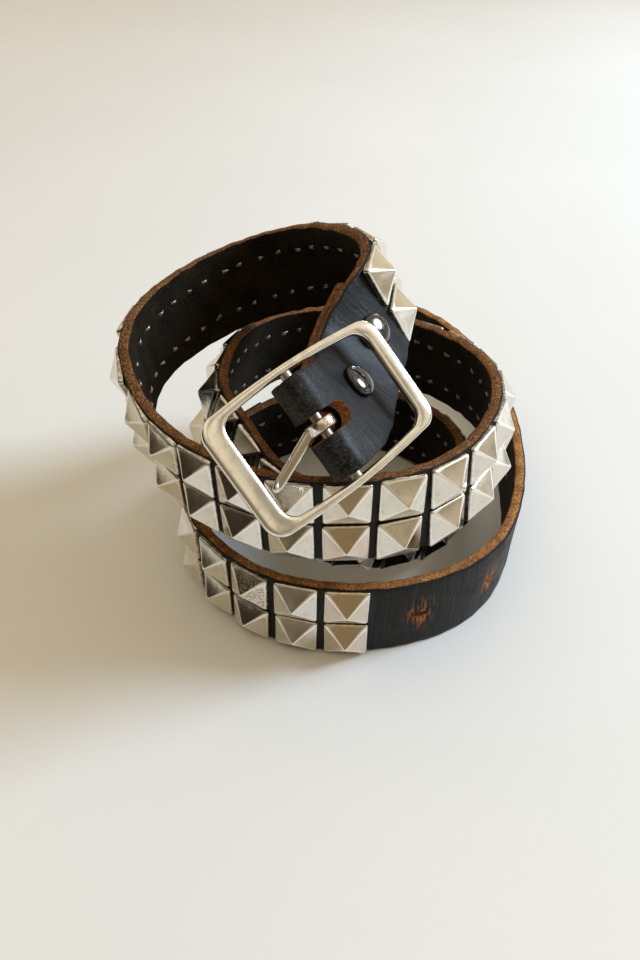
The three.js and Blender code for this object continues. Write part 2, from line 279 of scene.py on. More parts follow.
# %% [markdown]
# ## Camera
# The picture was taken from above and in front, looking down by 42.7 degrees with a normal phone lens. The
# camera stands at that place over the route, so a render lines up with the photograph.

# %% Camera
CAMERA_DOWN = 42.72
CAMERA_BACK = 12.4 * STUD_PITCH
CAMERA_HIGH = 12.785 * STUD_PITCH
CAMERA_LENS = 26.25
camera_data = bpy.data.cameras.new("photo_camera")
camera_data.lens = CAMERA_LENS
camera_data.sensor_width = 36.0
camera_data.clip_start = 0.01
camera = bpy.data.objects.new("photo_camera", camera_data)
camera.location = in_frame([0.0, -CAMERA_BACK, CAMERA_HIGH]).tolist()
camera.rotation_euler = (math.radians(90 - CAMERA_DOWN), 0, 0)
bpy.context.collection.objects.link(camera)
bpy.context.scene.camera = camera
print("camera at", [round(v, 3) for v in camera.location])

# %% [markdown]
# ## Light
# A large soft light stands to the right and a little behind, as a window does. It throws the broad warm
# shadow to the left. The world is a warm room, darker to the left and golden in front, because polished metal
# shows whatever surrounds it. The camera itself sees plain pale walls behind the floor.

# %% Lights and world
def area_light(name, place_m, aim_m, size, watts, colour):
    data = bpy.data.lights.new(name, "AREA")
    data.shape = "DISK"
    data.size = size
    data.energy = watts
    data.color = colour
    light = bpy.data.objects.new(name, data)
    light.location = place_m
    light.rotation_euler = (Vector(aim_m) - Vector(place_m)).to_track_quat("-Z", "Y").to_euler()
    bpy.context.collection.objects.link(light)
    return light


WINDOW_PLACE = (1.50, 0.36, 1.02)
WINDOW_AIM = (0, 0, 0.03)
WINDOW_SIZE = 0.70
WINDOW_WATTS = 35.0
WINDOW_COLOUR = (0.64, 0.80, 1.0)
area_light("window", WINDOW_PLACE, WINDOW_AIM, WINDOW_SIZE, WINDOW_WATTS, WINDOW_COLOUR)

world = bpy.data.worlds.new("room")
bpy.context.scene.world = world
world.use_nodes = True
sky = world.node_tree
where = sky.nodes.new("ShaderNodeTexCoord")
background = sky.nodes["Background"]
UP_COLOUR = (0.93, 0.80, 0.57)
SIDE_COLOUR = (0.62, 0.52, 0.36)
DARK_COLOUR = (0.040, 0.026, 0.016)
GOLD_COLOUR = (0.27, 0.21, 0.115)
CLUTTER_COLOUR = (0.20, 0.155, 0.105)
WALL_COLOUR = (0.80, 0.79, 0.77)


def lobe(direction, low, high):
    """A mask that is 1 towards a direction and 0 away from it."""
    dot = sky.nodes.new("ShaderNodeVectorMath")
    dot.operation = "DOT_PRODUCT"
    dot.inputs[1].default_value = Vector(direction).normalized()
    sky.links.new(where.outputs["Generated"], dot.inputs[0])
    fit = sky.nodes.new("ShaderNodeMapRange")
    fit.interpolation_type = "SMOOTHSTEP"
    fit.inputs["From Min"].default_value = low
    fit.inputs["From Max"].default_value = high
    sky.links.new(dot.outputs["Value"], fit.inputs["Value"])
    return fit.outputs["Result"]


def tinted(mask, below, colour):
    """The colour below, turned to another colour inside a mask."""
    mix = sky.nodes.new("ShaderNodeMix")
    mix.data_type = "RGBA"
    sky.links.new(mask, mix.inputs[0])
    if isinstance(below, bpy.types.NodeSocket):
        sky.links.new(below, mix.inputs[6])
    else:
        mix.inputs[6].default_value = (*below, 1)
    mix.inputs[7].default_value = (*colour, 1)
    return mix.outputs[2]


room = tinted(lobe((0, 0.2, 1), 0.25, 0.85), SIDE_COLOUR, UP_COLOUR)
clutter = sky.nodes.new("ShaderNodeTexNoise")
clutter.inputs["Scale"].default_value = 2.6
clutter.inputs["Detail"].default_value = 1.0
sky.links.new(where.outputs["Generated"], clutter.inputs["Vector"])
uneven_walls = sky.nodes.new("ShaderNodeMapRange")
uneven_walls.inputs["From Min"].default_value = 0.50
uneven_walls.inputs["From Max"].default_value = 0.66
uneven_walls.inputs["To Max"].default_value = 0.75
sky.links.new(clutter.outputs[0], uneven_walls.inputs["Value"])
room = tinted(uneven_walls.outputs["Result"], room, CLUTTER_COLOUR)
room = tinted(lobe((0.10, -0.90, 0.42), 0.80, 0.97), room, GOLD_COLOUR)
room = tinted(lobe((-0.84, -0.48, 0.26), 0.60, 0.95), room, DARK_COLOUR)
seen = sky.nodes.new("ShaderNodeLightPath").outputs["Is Camera Ray"]
sky.links.new(tinted(seen, room, WALL_COLOUR), background.inputs["Color"])
background.inputs["Strength"].default_value = 1.0
scene = bpy.context.scene
scene.view_settings.view_transform = "Standard"
scene.view_settings.look = "None"

# %% [markdown]
# ## Shader helpers
# A material here is a short list of nodes. Effects that several materials share are node groups with named
# inputs: soft spots, fine relief, and the finish of handled metal. Only colours, masks, values and normals
# leave a group, so each material keeps its own surface shader.

# %% Node helpers
def add(tree, kind, inputs=None, **settings):
    """A node with its settings, and its inputs set to values or joined to other sockets."""
    node = tree.nodes.new("ShaderNode" + kind)
    for key, value in settings.items():
        setattr(node, key, value)
    for key, value in (inputs or {}).items():
        if isinstance(value, bpy.types.NodeSocket):
            tree.links.new(value, node.inputs[key])
        else:
            node.inputs[key].default_value = value
    return node


def blend(tree, factor, first, second):
    """Colour that goes from first to second with the factor."""
    mix = add(tree, "Mix", data_type="RGBA")
    for name, value in (("Factor_Float", factor), ("A_Color", first), ("B_Color", second)):
        socket = next(s for s in mix.inputs if s.identifier == name)
        if isinstance(value, bpy.types.NodeSocket):
            tree.links.new(value, socket)
        elif name == "Factor_Float":
            socket.default_value = value
        else:
            socket.default_value = (*value, 1.0)
    return next(s for s in mix.outputs if s.identifier == "Result_Color")


def calc(tree, operation, *values, clamp=False):
    node = add(tree, "Math", dict(enumerate(values)), operation=operation, use_clamp=clamp)
    return node.outputs[0]


def group(name, inputs, outputs):
    """An empty node group with named sockets, and its two end nodes."""
    tree = bpy.data.node_groups.new(name, "ShaderNodeTree")
    for label, kind, value in inputs:
        socket = tree.interface.new_socket(label, in_out="INPUT", socket_type="NodeSocket" + kind)
        if value is not None:
            socket.default_value = value
    for label, kind in outputs:
        tree.interface.new_socket(label, in_out="OUTPUT", socket_type="NodeSocket" + kind)
    return tree, tree.nodes.new("NodeGroupInput"), tree.nodes.new("NodeGroupOutput")


def use(tree, made, inputs):
    """A shared node group placed in a material with its own values."""
    return add(tree, "Group", inputs, node_tree=made)


def surface(name, **constants):
    """A material with an empty Principled surface, and its tree and shader."""
    material = bpy.data.materials.new(name)
    material.use_nodes = True
    tree = material.node_tree
    shader = tree.nodes["Principled BSDF"]
    for key, value in constants.items():
        shader.inputs[key.replace("_", " ")].default_value = value
    return material, tree, shader


# Soft spots: a mask that is 1 inside blotches of the given size and 0 outside them
spots, given, made = group(
    "soft_spots",
    [("Vector", "Vector", None), ("Scale", "Float", 100.0), ("Low", "Float", 0.5), ("High", "Float", 0.6)],
    [("Mask", "Float")],
)
cloud = add(spots, "TexNoise", {"Vector": given.outputs["Vector"], "Scale": given.outputs["Scale"],
                                "Detail": 5.0})
fit = add(
    spots,
    "MapRange",
    {"Value": cloud.outputs[0], "From Min": given.outputs["Low"], "From Max": given.outputs["High"]},
    interpolation_type="SMOOTHSTEP",
)
spots.links.new(fit.outputs["Result"], made.inputs["Mask"])

# Fine relief: a normal from noise, at a size in repeats per metre and a depth in metres
relief, given, made = group(
    "fine_relief",
    [("Vector", "Vector", None), ("Scale", "Float", 1000.0), ("Strength", "Float", 0.5),
     ("Depth", "Float", 0.0002)],
    [("Normal", "Vector"), ("Height", "Float")],
)
rough = add(relief, "TexNoise", {"Vector": given.outputs["Vector"], "Scale": given.outputs["Scale"],
                                 "Detail": 4.0, "Roughness": 0.6})
bump = add(relief, "Bump", {"Strength": given.outputs["Strength"], "Distance": given.outputs["Depth"],
                            "Height": rough.outputs[0]})
relief.links.new(bump.outputs["Normal"], made.inputs["Normal"])
relief.links.new(rough.outputs[0], made.inputs["Height"])

# Handled metal: clean and tarnished colour, smudged roughness, and small dents and scratches
handled, given, made = group(
    "handled_metal",
    [("Vector", "Vector", None), ("Clean", "Color", (0.8, 0.78, 0.74, 1)),
     ("Tarnish", "Color", (0.4, 0.3, 0.2, 1)),
     ("Amount", "Float", 0.3), ("Smooth", "Float", 0.15), ("Dull", "Float", 0.4), ("Dents", "Float", 0.2)],
    [("Color", "Color"), ("Roughness", "Float"), ("Normal", "Vector")],
)
stain = use(handled, spots, {"Vector": given.outputs["Vector"], "Scale": 260.0, "Low": 0.45, "High": 0.75})
speck = use(handled, spots, {"Vector": given.outputs["Vector"], "Scale": 1500.0, "Low": 0.55, "High": 0.72})
smudge = use(handled, spots, {"Vector": given.outputs["Vector"], "Scale": 90.0, "Low": 0.35, "High": 0.7})
both = calc(handled, "ADD", calc(handled, "MULTIPLY", stain.outputs[0], 0.7),
            calc(handled, "MULTIPLY", speck.outputs[0], 0.5), clamp=True)
share = calc(handled, "MULTIPLY", both, given.outputs["Amount"], clamp=True)
stained = blend(handled, share, given.outputs["Clean"], given.outputs["Tarnish"])
handled.links.new(stained, made.inputs["Color"])
worn = calc(handled, "MAXIMUM", share, calc(handled, "MULTIPLY", smudge.outputs[0], 0.35))
span = add(handled, "MapRange", {"Value": worn, "To Min": given.outputs["Smooth"],
                                 "To Max": given.outputs["Dull"]})
handled.links.new(span.outputs["Result"], made.inputs["Roughness"])
dents = use(handled, relief, {"Vector": given.outputs["Vector"], "Scale": 420.0})
hair = add(handled, "Mapping", {"Vector": given.outputs["Vector"], "Scale": (3200.0, 260.0, 900.0),
                                "Rotation": (0.4, 0.7, 0.9)})
scratch = use(handled, relief, {"Vector": hair.outputs[0], "Scale": 1.0})
scratched = calc(handled, "MULTIPLY", scratch.outputs["Height"], 0.12)
height = calc(handled, "ADD", dents.outputs["Height"], scratched)
worked = add(handled, "Bump", {"Strength": given.outputs["Dents"], "Distance": 0.0003, "Height": height})
handled.links.new(worked.outputs["Normal"], made.inputs["Normal"])
print("groups", [g.name for g in bpy.data.node_groups])

# %% [markdown]
# ## Leather surfaces
# The strap carries two maps. The first holds the distance along it and across it, in metres, so wrinkles run
# the right way wherever the strap bends. The second holds the depth through the leather and how torn it is.

# %% Leather materials
def strap_maps(tree):
    """Sockets for the place on the strap as a vector, and its across, depth and tear values."""
    along = add(tree, "UVMap", uv_map="strap")
    skin = add(tree, "UVMap", uv_map="skin")
    parts = add(tree, "SeparateXYZ", {0: along.outputs[0]})
    depth = add(tree, "SeparateXYZ", {0: skin.outputs[0]})
    vector = add(tree, "CombineXYZ", {0: parts.outputs[0], 1: parts.outputs[1], 2: depth.outputs[0]})
    return vector.outputs[0], parts.outputs[1], depth.outputs[0], depth.outputs[1]


def stretched(tree, vector, scale):
    return add(tree, "Mapping", {"Vector": vector, "Scale": scale}).outputs[0]


TORN_COLOUR = (0.52, 0.20, 0.055)

# Grain face: creases, fine lines and pores, grey specks where it bends at the fold, tears at the holes
grain, tree, shader = surface("black_grain_leather", Specular_IOR_Level=0.15, Coat_Weight=0.02,
                              Coat_Roughness=0.35)
vector, across, depth, torn = strap_maps(tree)
fibre = stretched(tree, vector, (1150.0, 75.0, 1150.0))
crease = stretched(tree, vector, (260.0, 26.0, 260.0))
pores = add(tree, "TexVoronoi", {"Vector": vector, "Scale": 950.0})
fold = add(tree, "TexNoise", {"Vector": crease, "Scale": 1.0, "Detail": 6.0, "Roughness": 0.55,
                              "Distortion": 0.6})
line_noise = add(tree, "TexNoise", {"Vector": fibre, "Scale": 1.0, "Detail": 5.0, "Roughness": 0.65})
lines = add(tree, "MapRange", {"Value": line_noise.outputs[0], "From Min": 0.5, "From Max": 0.72})
rubbed = use(tree, spots, {"Vector": vector, "Scale": 130.0, "Low": 0.42, "High": 0.72})
base = blend(tree, rubbed.outputs[0], (0.0055, 0.0056, 0.0062), (0.0150, 0.0148, 0.0150))
base = blend(tree, calc(tree, "MULTIPLY", lines.outputs[0], 0.55), base, (0.050, 0.044, 0.040))
place_along = add(tree, "SeparateXYZ", {0: vector}).outputs[0]
from_fold = calc(tree, "ABSOLUTE", calc(tree, "ADD", place_along, 0.002))
bent = add(tree, "MapRange", {"Value": from_fold, "From Min": 0.016, "From Max": 0.004, "To Max": 0.6})
specks = use(tree, spots, {"Vector": stretched(tree, vector, (0.5, 1.3, 1.0)), "Scale": 2300.0, "Low": 0.44,
                           "High": 0.72})
base = blend(tree, calc(tree, "MULTIPLY", bent.outputs[0], specks.outputs[0]), base, (0.085, 0.079, 0.071))
frayed = use(tree, spots, {"Vector": stretched(tree, vector, (1.0, 0.16, 1.0)), "Scale": 1300.0,
                           "Low": 0.50, "High": 0.56})
split_open = calc(tree, "MULTIPLY", calc(tree, "MULTIPLY", torn, 1.3), frayed.outputs[0], clamp=True)
base = blend(tree, split_open, base, TORN_COLOUR)
rim = add(tree, "MapRange", {"Value": calc(tree, "ABSOLUTE", across), "From Min": 0.0157, "From Max": 0.0161})
scuffs = use(tree, spots, {"Vector": vector, "Scale": 420.0, "Low": 0.38, "High": 0.6})
scuffed = calc(tree, "MULTIPLY", rim.outputs[0], scuffs.outputs[0], clamp=True)
base = blend(tree, scuffed, base, (0.040, 0.027, 0.018))
tree.links.new(base, shader.inputs["Base Color"])
gloss = add(tree, "MapRange", {"Value": rubbed.outputs[0], "To Min": 0.42, "To Max": 0.60})
tree.links.new(calc(tree, "ADD", gloss.outputs[0], calc(tree, "MULTIPLY", split_open, 0.4)),
               shader.inputs["Roughness"])
dry = add(tree, "MapRange", {"Value": place_along, "From Min": 0.80, "From Max": 0.96, "To Min": 0.16,
                             "To Max": 0.70}).outputs[0]
bump = add(tree, "Bump", {"Strength": dry, "Distance": 0.0012, "Height": fold.outputs[0]})
bump = add(tree, "Bump", {"Strength": dry, "Distance": 0.0006, "Height": line_noise.outputs[0],
                          "Normal": bump.outputs[0]})
bump = add(tree, "Bump", {"Strength": 0.22, "Distance": 0.00025, "Height": pores.outputs["Distance"],
                          "Normal": bump.outputs[0]})
bump = add(tree, "Bump", {"Strength": 0.8, "Distance": 0.0004, "Height": split_open,
                          "Normal": bump.outputs[0]}, invert=True)
tree.links.new(bump.outputs[0], shader.inputs["Normal"])

# Raw edge: fine strands, darker in worn patches, paler towards the tip, with a black line at the grain face
raw_edge, tree, shader = surface("raw_cut_edge", Specular_IOR_Level=0.25)
vector, across, depth, torn = strap_maps(tree)
place_along = add(tree, "SeparateXYZ", {0: vector}).outputs[0]
strands = use(tree, spots, {"Vector": stretched(tree, vector, (0.7, 1.0, 1.3)), "Scale": 1900.0,
                            "Low": 0.36, "High": 0.72})
patch = use(tree, spots, {"Vector": vector, "Scale": 170.0, "Low": 0.40, "High": 0.62})
worn_end = add(tree, "MapRange", {"Value": place_along, "From Min": 0.84, "From Max": 1.0})
dark = blend(tree, strands.outputs[0], (0.050, 0.019, 0.007), (0.44, 0.195, 0.062))
pale = blend(tree, strands.outputs[0], (0.24, 0.085, 0.022), (0.72, 0.36, 0.12))
base = blend(tree, worn_end.outputs[0], dark, pale)
base = blend(tree, calc(tree, "MULTIPLY", patch.outputs[0], 0.5), base, (0.085, 0.033, 0.013))
skin_side = add(tree, "MapRange", {"Value": depth, "From Min": 0.00105, "From Max": 0.00160})
base = blend(tree, skin_side.outputs[0], base, (0.012, 0.011, 0.012))
tree.links.new(base, shader.inputs["Base Color"])
shader.inputs["Roughness"].default_value = 0.82
nap = use(tree, relief, {"Vector": stretched(tree, vector, (0.7, 1.0, 1.3)), "Scale": 1900.0, "Strength": 0.8,
                         "Depth": 0.0004})
tree.links.new(nap.outputs["Normal"], shader.inputs["Normal"])

# Flesh side: dark suede in soft patches, with paler tufts and a little sheen
flesh, tree, shader = surface("suede_flesh_side", Specular_IOR_Level=0.10, Sheen_Weight=0.03,
                              Sheen_Roughness=0.5)
vector, across, depth, torn = strap_maps(tree)
shade = use(tree, spots, {"Vector": vector, "Scale": 120.0, "Low": 0.35, "High": 0.68})
tuft = use(tree, spots, {"Vector": vector, "Scale": 1400.0, "Low": 0.42, "High": 0.7})
base = blend(tree, shade.outputs[0], (0.0045, 0.0031, 0.0015), (0.017, 0.0115, 0.0052))
base = blend(tree, calc(tree, "MULTIPLY", tuft.outputs[0], 0.55), base, (0.040, 0.028, 0.0145))
tree.links.new(base, shader.inputs["Base Color"])
shader.inputs["Roughness"].default_value = 0.9
nap = use(tree, relief, {"Vector": vector, "Scale": 1600.0, "Strength": 0.8, "Depth": 0.0005})
tree.links.new(nap.outputs["Normal"], shader.inputs["Normal"])

# Fresh cut: the orange inside of the leather in the slot and the holes
cut, tree, shader = surface("fresh_cut_leather", Specular_IOR_Level=0.25)
where = add(tree, "TexCoord")
strands = use(tree, spots, {"Vector": where.outputs["Object"], "Scale": 1100.0, "Low": 0.36, "High": 0.66})
base = blend(tree, strands.outputs[0], (0.16, 0.055, 0.018), (0.48, 0.19, 0.060))
tree.links.new(base, shader.inputs["Base Color"])
shader.inputs["Roughness"].default_value = 0.85
nap = use(tree, relief, {"Vector": where.outputs["Object"], "Scale": 1500.0, "Strength": 0.8,
                         "Depth": 0.0004})
tree.links.new(nap.outputs["Normal"], shader.inputs["Normal"])
print("leather materials", grain.name, raw_edge.name, flesh.name, cut.name)

# %% [markdown]
# ## Metal, enamel and floor
# The studs are thin nickel, worn and a little yellow, with a painted highlight along their ridges and foot
# edge, and darker where dirt gathers at the foot. One stud near the front has green corrosion. The buckle is
# brighter and the snap caps are glossy black enamel. Each metal has its own clean and tarnished colour in the
# same shared finish.

# %% Metal materials
def metal(name, clean, tarnish, amount, smooth, dull, dents):
    """A handled metal, its tree and shader, its colour still to be joined, and the place on the object."""
    material, tree, shader = surface(name, Metallic=1.0)
    where = add(tree, "TexCoord")
    finish = use(tree, handled, {"Vector": where.outputs["Object"], "Clean": (*clean, 1),
                                 "Tarnish": (*tarnish, 1), "Amount": amount, "Smooth": smooth, "Dull": dull,
                                 "Dents": dents})
    tree.links.new(finish.outputs["Roughness"], shader.inputs["Roughness"])
    tree.links.new(finish.outputs["Normal"], shader.inputs["Normal"])
    return material, tree, shader, finish.outputs["Color"], where.outputs["Object"]


nickel, tree, shader, colour, vector = metal(
    "worn_nickel", (0.77, 0.735, 0.66), (0.44, 0.36, 0.25), 0.42, 0.15, 0.38, 0.14)
each = add(tree, "Attribute", attribute_name="each").outputs["Fac"]
low = add(tree, "Attribute", attribute_name="low").outputs["Fac"]
green = add(tree, "Attribute", attribute_name="green").outputs["Fac"]
warm = add(tree, "MapRange", {"Value": each, "From Min": 0.55, "From Max": 1.0, "To Max": 0.45})
colour = blend(tree, warm.outputs[0], colour, (0.82, 0.60, 0.46))
grime = use(tree, spots, {"Vector": vector, "Scale": 700.0, "Low": 0.30, "High": 0.62})
dirty = calc(tree, "MULTIPLY", calc(tree, "MULTIPLY", low, 0.7), grime.outputs[0], clamp=True)
colour = blend(tree, dirty, colour, (0.075, 0.060, 0.045))
pits = use(tree, spots, {"Vector": vector, "Scale": 1500.0, "Low": 0.53, "High": 0.62})
pitted = calc(tree, "MULTIPLY", green, pits.outputs[0], clamp=True)
colour = blend(tree, pitted, colour, (0.20, 0.215, 0.125))
# Painted highlight: the base colour turns pale cream along the ridges and the foot's edge, and roughness
# rises there.
ridge_highlight = add(tree, "MapRange", {"Value": add(tree, "Attribute", attribute_name="ridge_highlight").outputs["Fac"],
                               "From Min": 0.80, "From Max": 1.0})
colour = blend(tree, calc(tree, "MULTIPLY", ridge_highlight.outputs[0], 0.85), colour, (0.97, 0.94, 0.87))
tree.links.new(colour, shader.inputs["Base Color"])
plain_gloss = shader.inputs["Roughness"].links[0].from_socket
tree.links.new(calc(tree, "ADD", plain_gloss, calc(tree, "MULTIPLY", ridge_highlight.outputs[0], 0.16), clamp=True),
               shader.inputs["Roughness"])
tree.links.new(calc(tree, "SUBTRACT", 1.0, pitted), shader.inputs["Metallic"])

tabs, tree, shader, colour, vector = metal(
    "bent_prong_metal", (0.42, 0.39, 0.34), (0.10, 0.08, 0.06), 0.9, 0.30, 0.6, 0.3)
tree.links.new(colour, shader.inputs["Base Color"])

silver, tree, shader, colour, vector = metal(
    "polished_buckle", (0.86, 0.845, 0.81), (0.50, 0.43, 0.33), 0.55, 0.10, 0.34, 0.10)
tree.links.new(colour, shader.inputs["Base Color"])

steel, tree, shader, colour, vector = metal(
    "prong_steel", (0.82, 0.80, 0.765), (0.45, 0.38, 0.30), 0.35, 0.12, 0.36, 0.12)
tree.links.new(colour, shader.inputs["Base Color"])

enamel, tree, shader = surface("black_enamel", Coat_Weight=0.8, Coat_Roughness=0.05, Specular_IOR_Level=0.5)
where = add(tree, "TexCoord")
chips = use(tree, spots, {"Vector": where.outputs["Object"], "Scale": 900.0, "Low": 0.62, "High": 0.68})
dust = use(tree, spots, {"Vector": where.outputs["Object"], "Scale": 500.0, "Low": 0.40, "High": 0.70})
base = blend(tree, dust.outputs[0], (0.006, 0.006, 0.007), (0.018, 0.017, 0.017))
base = blend(tree, chips.outputs[0], base, (0.22, 0.18, 0.13))
tree.links.new(base, shader.inputs["Base Color"])
gloss = add(tree, "MapRange", {"Value": dust.outputs[0], "To Min": 0.12, "To Max": 0.28})
tree.links.new(gloss.outputs[0], shader.inputs["Roughness"])

paper, tree, shader = surface("pale_floor", Specular_IOR_Level=0.3)
where = add(tree, "TexCoord")
tint = use(tree, spots, {"Vector": where.outputs["Object"], "Scale": 3.0, "Low": 0.30, "High": 0.75})
base = blend(tree, tint.outputs[0], (0.82, 0.815, 0.805), (0.86, 0.852, 0.84))
tree.links.new(base, shader.inputs["Base Color"])
shader.inputs["Roughness"].default_value = 0.7
print("materials", len(bpy.data.materials))

# %% [markdown]
# ## Mesh helpers
# Pieces are lofted: rings of points, each joined to the next. One helper makes the quads, another makes an
# object from points in metres and rides it on its body, so that it moves with its joint.

# %% Mesh helpers
def loft(ring_count, ring_size, closed=False, caps=True):
    """Quads between rings of points, with the first and last ring capped unless the loft is closed."""
    faces = []
    for i in range(ring_count if closed else ring_count - 1):
        a, b = i * ring_size, (i + 1) % ring_count * ring_size
        faces += [(a + k, a + (k + 1) % ring_size, b + (k + 1) % ring_size, b + k) for k in range(ring_size)]
    if caps and not closed:
        faces.append(tuple(range(ring_size))[::-1])
        faces.append(tuple(range((ring_count - 1) * ring_size, ring_count * ring_size)))
    return faces


def piece(name, points, faces, materials, body, nodes=()):
    mesh = bpy.data.meshes.new(name)
    mesh.from_pydata(np.asarray(points).tolist(), [], faces)
    for material in materials:
        mesh.materials.append(material)
    mesh.validate()
    solid = bmesh.new()
    solid.from_mesh(mesh)
    bmesh.ops.recalc_face_normals(solid, faces=solid.faces)
    solid.to_mesh(mesh)
    solid.free()
    mesh.shade_smooth()
    made = bpy.data.objects.new(name, mesh)
    bpy.context.collection.objects.link(made)
    if body:
        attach(made, body)
        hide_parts(*nodes)
    return made


def uneven(at, size, seed):
    """A gentle wave between about -1 and 1 that never repeats, with swells of about the given size."""
    draw = np.random.default_rng(seed)
    waves = draw.uniform(0.6, 1.7, 5) * 2 * math.pi / size
    phases = draw.uniform(0, 2 * math.pi, 5)
    return sum(np.sin(np.asarray(at) * w + p) for w, p in zip(waves, phases)) / 2.6


def carry(points, matrix):
    """Points in millimetres in a matrix's own axes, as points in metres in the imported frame."""
    turn = np.array(matrix.to_3x3())
    return np.asarray(points) * MM @ turn.T + np.array(matrix.translation)


print("helpers ready")

# %% [markdown]
# ## The leather
# Sections stand every two millimetres: the folded-back end, the half turn round the bar, and the route to the
# tip. Each is a rounded strip with a slightly uneven edge. The slot and the torn holes are cut out after
# that. A mask of how torn the leather is, strongest at the two holes in use, goes into the second map.

# %% Leather sections
SECTION_STEP = 2.0
FACE_CELLS = 12
EDGE_ROUND = 0.7
EDGE_BULGE = 0.22
EDGE_WANDER = 0.20
FACE_SWELL = 0.10
TEAR_LENGTH = 3.4
TEAR_HEIGHT = 5.4
TEAR_SHARES = (1.0, 0.85, 0.6, 0.5, 0.4)
HOLES = [STRAP_LENGTH - STUDS_TO_TIP + STUDS_TO_HOLES + i * PRONG_HOLE_PITCH for i in range(PRONG_HOLES)]


def section_ring():
    """Rows of side, offset from that side's start of rounding, and depth, once round a section."""
    flat = STRAP_THICK / 2 - EDGE_ROUND
    turn = np.radians(np.linspace(0, 90, 4))
    rim = [(EDGE_ROUND * math.sin(q), flat + EDGE_ROUND * math.cos(q)) for q in turn]
    side = [(EDGE_ROUND + EDGE_BULGE * (1 - (n / flat) ** 2), n) for n in (flat / 2, 0.0, -flat / 2)]
    around = rim + side + [(o, -n) for o, n in rim[::-1]]
    shares = np.linspace(-1, 1, FACE_CELLS + 1)[1:-1]
    ring = [(f, 0.0, STRAP_THICK / 2) for f in shares] + [(1.0, o, n) for o, n in around]
    return np.array(ring + [(f, 0.0, -STRAP_THICK / 2) for f in shares[::-1]]
                    + [(-1.0, -o, n) for o, n in around[::-1]])


def leather_sections():
    """Middle, across, out, half width and distance along the leather, of every section."""
    back = np.linspace(FOLD_LENGTH, 0, int(FOLD_LENGTH / SECTION_STEP) + 1)[:-1]
    middle, _, across, out = place(back)
    ease = np.clip(back / FOLD_EASE, 0, 1)
    ease = (ease * ease * (3 - 2 * ease))[:, None]
    spacing = 2 * FOLD_RADIUS + (STRAP_THICK + FOLD_GAP - 2 * FOLD_RADIUS) * ease
    rows = [(middle - out * spacing, across, -out, np.full(len(back), STRAP_WIDTH / 2),
             -back - math.pi * FOLD_RADIUS)]
    turn = np.radians(np.linspace(0, 180, 15)[:-1])[:, None]
    out = -start[3] * np.cos(turn) - start[1] * np.sin(turn)
    rows.append((bar_centre + out * FOLD_RADIUS, np.repeat(start[2][None], len(turn), 0), out,
                 np.full(len(turn), STRAP_WIDTH / 2), (turn[:, 0] - math.pi) * FOLD_RADIUS))
    straight = np.linspace(0, STRAP_LENGTH - TIP_ROUND, int(STRAP_LENGTH / SECTION_STEP))
    swing = np.radians([8, 17, 26, 35, 44, 53, 62, 70, 77, 83, 86])
    s = np.concatenate([straight, STRAP_LENGTH - TIP_ROUND + TIP_ROUND * np.sin(swing)])
    half = np.concatenate([np.full(len(straight), STRAP_WIDTH / 2),
                           STRAP_WIDTH / 2 - TIP_ROUND * (1 - np.cos(swing))])
    middle, _, across, out = place(s)
    rows.append((middle, across, out, half, s))
    return [np.concatenate(column) for column in zip(*rows)]


middle, across, out, half, distance = leather_sections()
ring = section_ring()
side, offset, depth = ring.T
upper_edge = uneven(distance, 9.0, 3)[:, None] * (side > 0.99)
lower_edge = uneven(distance, 11.0, 4)[:, None] * (side < -0.99)
wander = EDGE_WANDER * upper_edge + EDGE_WANDER * lower_edge
at_side = side * (half[:, None] - EDGE_ROUND) + offset + wander
swell = FACE_SWELL * uneven(distance[:, None] + 0.6 * at_side, 14.0, 5)
at_depth = depth + swell
points = middle[:, None] + across[:, None] * at_side[..., None] + out[:, None] * at_depth[..., None]
faces = loft(len(middle), len(ring))
leather = piece("strap_leather", in_frame(points.reshape(-1, 3)), faces, [grain, raw_edge, flesh], "strap",
                ["studded_strap"])
tear = sum(much * np.exp(-(((distance[:, None] - hole) / TEAR_LENGTH) ** 2 + (at_side / TEAR_HEIGHT) ** 2))
           for hole, much in zip(HOLES, TEAR_SHARES))
place_uv = np.stack([np.repeat(distance, len(ring)), at_side.ravel()], 1) * MM
skin_uv = np.stack([np.tile(depth, len(middle)) * MM, tear.ravel()], 1)
kinds = np.zeros(len(ring), int)
for k in range(len(ring)):
    n = (k + 1) % len(ring)
    if min(abs(offset[k]), abs(offset[n])) > 0.35 * EDGE_ROUND:
        kinds[k] = 1
    elif depth[k] + depth[n] < 0:
        kinds[k] = 2
mesh = leather.data
loops = np.zeros(len(mesh.loops), int)
mesh.loops.foreach_get("vertex_index", loops)
for label, values in (("strap", place_uv), ("skin", skin_uv)):
    layer = mesh.uv_layers.new(name=label)
    layer.data.foreach_set("uv", values[loops].astype(np.float32).ravel())
width = len(ring)
for polygon in mesh.polygons:
    columns = sorted(v % width for v in polygon.vertices)
    if len(polygon.vertices) > 4:
        polygon.material_index = 1
        continue
    k = columns[0] if columns[-1] - columns[0] < width - 1 else width - 1
    polygon.material_index = int(kinds[k])
print("leather", len(mesh.vertices), "points", len(mesh.polygons), "faces")

# %% [markdown]
# ## Slot and holes
# The slot lets the prong through at the fold. The five holes near the tip are worn oval. Each cutter carries
# the colour of fresh cut leather, which its walls keep.

# %% Cut the slot and the holes
def prism(outline, low, high, matrix, name):
    """A closed cutter from an outline in millimetres, in a matrix's own axes."""
    rings = [[(x, y, z) for x, y in outline] for z in (low, high)]
    return piece(name, carry(np.array(rings).reshape(-1, 3), matrix), loft(2, len(outline)), [cut], None)


def stadium(near, far, half, cells=10):
    """A strip from near to far with a round far end."""
    turn = np.radians(np.linspace(-90, 90, cells))
    end = [(far - half + half * math.cos(q), half * math.sin(q)) for q in turn]
    return [(near, -half), *end, (near, half)]


